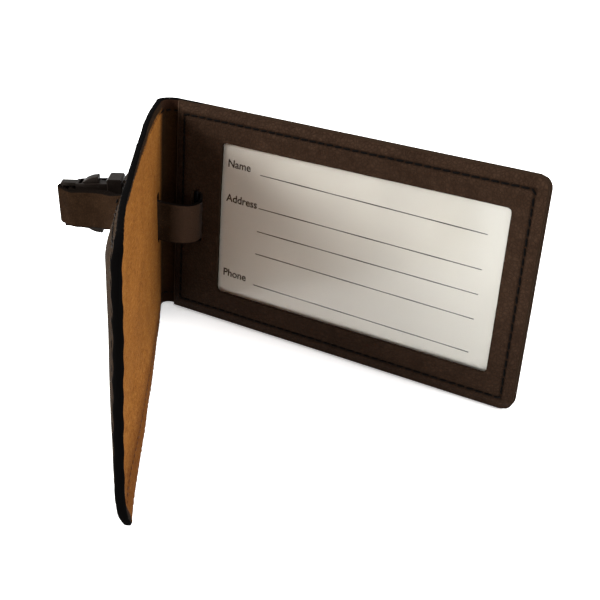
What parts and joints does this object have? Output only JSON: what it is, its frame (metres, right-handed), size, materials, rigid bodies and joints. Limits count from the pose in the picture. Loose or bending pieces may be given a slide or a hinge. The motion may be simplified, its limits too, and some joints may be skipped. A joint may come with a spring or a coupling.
{
  "type": "luggage tag",
  "caption": "Folding leather luggage tag with a framed window pocket, insert card, privacy cover and a strap loop closed by a small side-release buckle.",
  "frame": {"origin": "in the lower edge of the back leather, in mid-thickness where it starts to bend round the fold; the fold axis is parallel to Z at y = -4.25 mm", "axes": "+Z along the fold, up; +X along the back leaf to its free end; the window faces -Y"},
  "size_m": [0.1491, 0.1086, 0.065],
  "materials": {
    "outer_leather": "dark brown full-grain leather, satin, black painted edges",
    "flesh_leather": "natural tan flesh side, napped and matte",
    "frame_leather": "dark brown waxed leather, satin",
    "clear_sheet": "clear flexible plastic sheet, glossy",
    "card": "off-white printed card, matte",
    "thread": "black waxed sewing thread",
    "strap_leather": "dark brown leather strap, satin, dark edges",
    "buckle_plastic": "dark brown moulded plastic, semi-gloss"
  },
  "bodies": {
    "back": {"back_leather": "outer_leather", "frame_leather": "frame_leather", "window_sheet": "clear_sheet", "frame_seam_thread": "thread", "back_seam_thread": "thread", "strap_rear": "strap_leather", "strap_rear_thread": "thread", "buckle_plug": "buckle_plastic"},
    "cover": {"cover_leather": "flesh_leather", "cover_seam_thread_inner": "thread", "cover_seam_thread_outer": "thread"},
    "card": {"insert_card": "card"},
    "socket": {"buckle_socket": "buckle_plastic", "strap_front": "strap_leather", "strap_front_thread": "thread"},
    "prong_up": {"prong_upper": "buckle_plastic"},
    "prong_low": {"prong_lower": "buckle_plastic"}
  },
  "joints": [
    {"name": "cover_fold", "type": "hinge", "parent": "back", "child": "cover", "pos_m": [0, -0.00425, 0], "axis": [0, 0, 1], "range_deg": [-33.5, 56.5]},
    {"name": "card_slide", "type": "slide", "parent": "back", "child": "card", "axis": [1, 0, 0], "range_m": [0, 0.09]},
    {"name": "buckle_release", "type": "slide", "parent": "back", "child": "socket", "axis": [-0.8817, -0.4688, -0.0523], "range_m": [0, 0.015], "deforming": ["prong_upper", "prong_lower"]},
    {"name": "prong_squeeze", "type": "hinge", "parent": "back", "child": "prong_up", "pos_m": [-0.01743, -0.00409, 0.03581], "axis": [0.4717, -0.8755, -0.1044], "range_deg": [0, 12.5]},
    {"name": "prong_squeeze_lower", "type": "hinge", "parent": "back", "child": "prong_low", "pos_m": [-0.01747, -0.00255, 0.0227], "axis": [0.4717, -0.8755, -0.1044], "range_deg": [-12.5, 0]}
  ],
  "couplings": [
    {"joint": "prong_squeeze_lower", "follows": "prong_squeeze", "ratio": -1}
  ]
}
